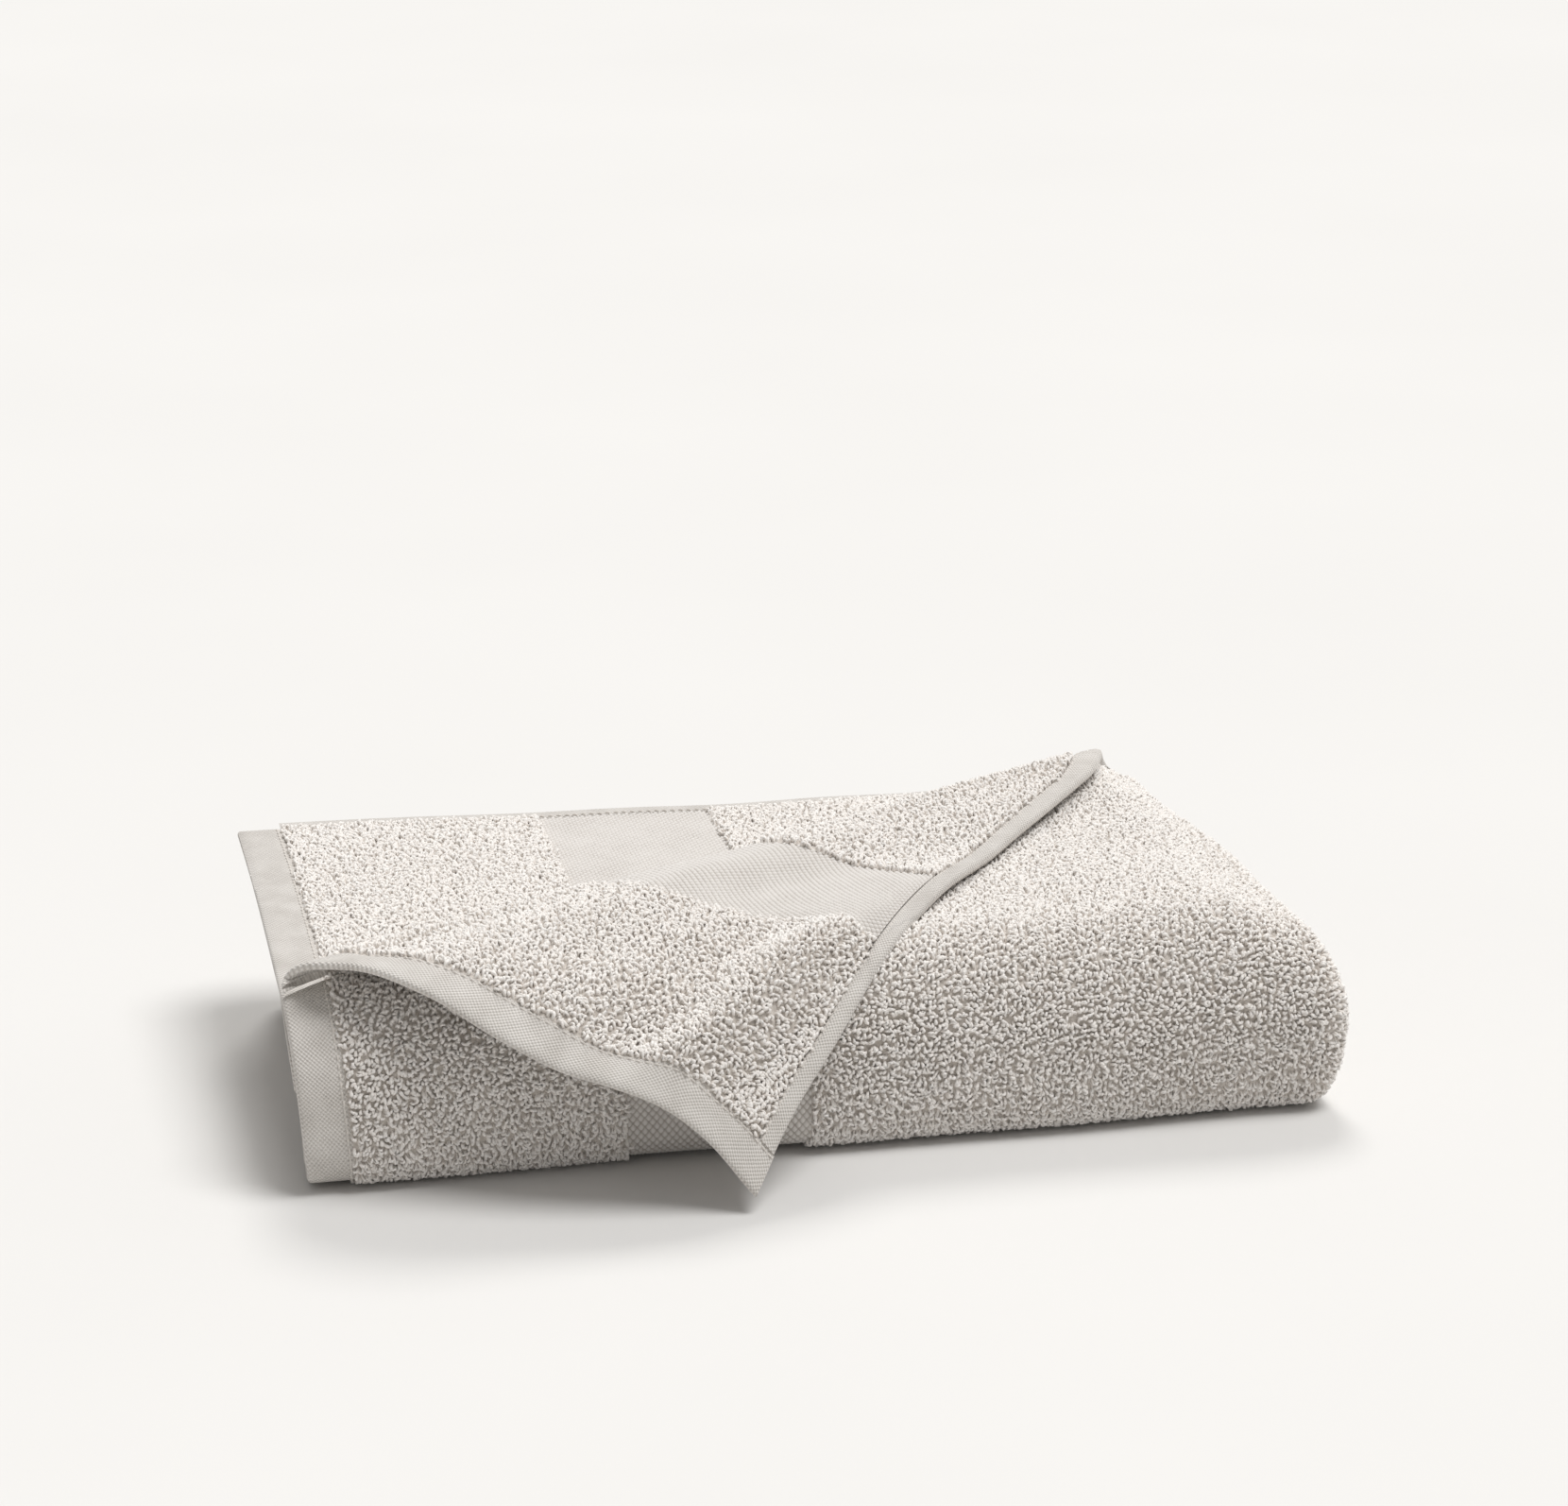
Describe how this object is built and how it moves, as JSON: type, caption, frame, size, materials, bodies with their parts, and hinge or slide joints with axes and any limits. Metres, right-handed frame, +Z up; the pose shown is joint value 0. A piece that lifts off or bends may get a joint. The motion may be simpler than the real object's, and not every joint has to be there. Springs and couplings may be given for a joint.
{
  "type": "bath towel",
  "caption": "Folded terry bath towel with a honeycomb band, sewn hems, and a corner of its top layer turned down over the front.",
  "frame": {"origin": "middle of the footprint, on the surface that the folded towel rests on", "axes": "+Z up; +X to the right along the folded towel's long front; +Y from the front roll to the open back edges"},
  "size_m": [0.355, 0.236, 0.0728],
  "materials": {
    "terry": "matte",
    "honeycomb": "matte",
    "hem_weave": "matte",
    "sewing_thread": "matte"
  },
  "bodies": {
    "folded_stack": {"outer_end_hem": "hem_weave", "outer_terry_strip": "terry", "outer_dobby_band": "honeycomb", "outer_terry_main": "terry", "second_end_hem": "hem_weave", "second_terry_strip": "terry", "second_dobby_band": "honeycomb", "second_terry_main": "terry", "third_terry_panel": "terry", "fourth_terry_panel": "terry", "left_fold": "terry", "right_fold_outer": "terry", "right_fold_inner": "terry", "outer_side_hem": "hem_weave", "second_side_hem": "hem_weave", "third_side_hem": "hem_weave", "fourth_side_hem": "hem_weave", "fifth_side_hem": "hem_weave", "sixth_side_hem": "hem_weave", "seventh_side_hem": "hem_weave", "eighth_side_hem": "hem_weave", "outer_end_hem_stitching": "sewing_thread", "second_end_hem_stitching": "sewing_thread", "second_side_hem_stitching": "sewing_thread", "crease_end_hem": "hem_weave", "crease_terry_strip": "terry", "crease_dobby_band": "honeycomb", "crease_terry_main": "terry"},
    "corner_flap": {"flap_end_hem_upper": "hem_weave", "flap_terry_strip_upper": "terry", "flap_dobby_band_upper": "honeycomb", "flap_terry_main_upper": "terry", "flap_side_hem_upper": "hem_weave", "flap_end_hem_stitching_upper": "sewing_thread", "flap_side_hem_stitching_upper": "sewing_thread"},
    "flap_tip": {"flap_end_hem_lower": "hem_weave", "flap_terry_strip_lower": "terry", "flap_side_hem_lower": "hem_weave", "flap_end_hem_stitching_lower": "sewing_thread", "flap_side_hem_stitching_lower": "sewing_thread"}
  },
  "joints": [
    {"name": "corner_fold", "type": "hinge", "parent": "folded_stack", "child": "corner_flap", "pos_m": [-0.01265, 0.03346, 0.0711], "axis": [-0.8901, -0.4558, 0], "range_deg": [0, 180], "deforming": ["crease_end_hem", "crease_terry_strip", "crease_dobby_band", "crease_terry_main"]},
    {"name": "tip_drape", "type": "hinge", "parent": "corner_flap", "child": "flap_tip", "pos_m": [-0.0436, -0.05221, 0.06865], "axis": [-1, 0, 0], "range_deg": [0, 46]}
  ],
  "couplings": [
    {"joint": "tip_drape", "follows": "corner_fold", "ratio": 0.25515}
  ]
}
